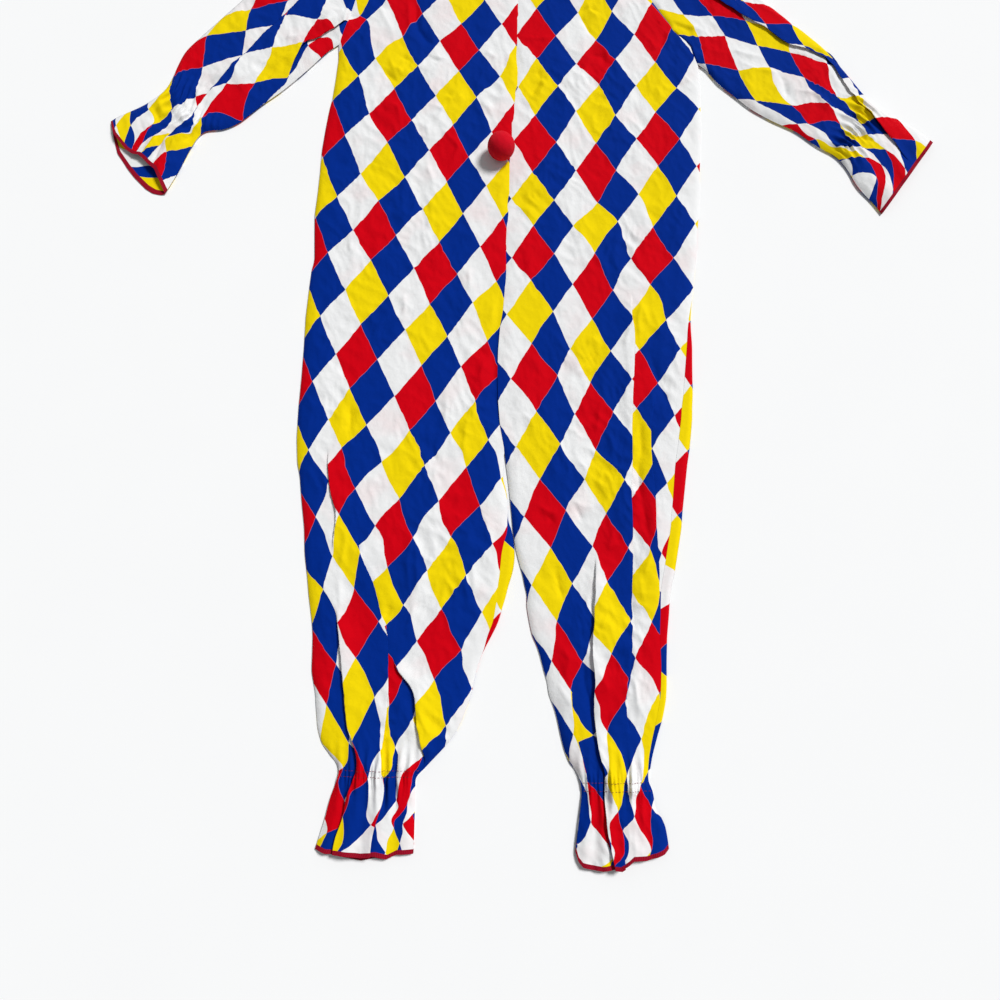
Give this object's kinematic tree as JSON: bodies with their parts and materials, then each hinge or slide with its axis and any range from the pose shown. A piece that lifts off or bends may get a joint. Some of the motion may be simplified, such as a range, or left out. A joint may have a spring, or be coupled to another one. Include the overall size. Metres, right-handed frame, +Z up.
{
  "type": "clown jumpsuit",
  "caption": "Costume jumpsuit laid flat, in harlequin diamond cloth, with long sleeves, a red pompom on the front seam, and elastic gathers and frills at wrists and ankles.",
  "frame": {"origin": "middle of the whole plan, on the surface it lies on", "axes": "+Z up from the surface, +Y towards the neck, +X to the right as seen from above with the neck up"},
  "size_m": [1.383, 1.5986, 0.0498],
  "materials": {
    "cloth": "matte light plain weave, printed with blue, white, red and yellow diamonds",
    "pompom": "matte red fibre ball",
    "elastic": "matte white woven elastic"
  },
  "bodies": {
    "root": {"front_left": "cloth", "front_right": "cloth", "back_left": "cloth", "back_right": "cloth", "sleeve_left": "cloth", "sleeve_right": "cloth", "elastic_ankle_left": "elastic", "elastic_ankle_right": "elastic", "elastic_wrist_left": "elastic", "elastic_wrist_right": "elastic", "pompom": "pompom"}
  },
  "joints": []
}
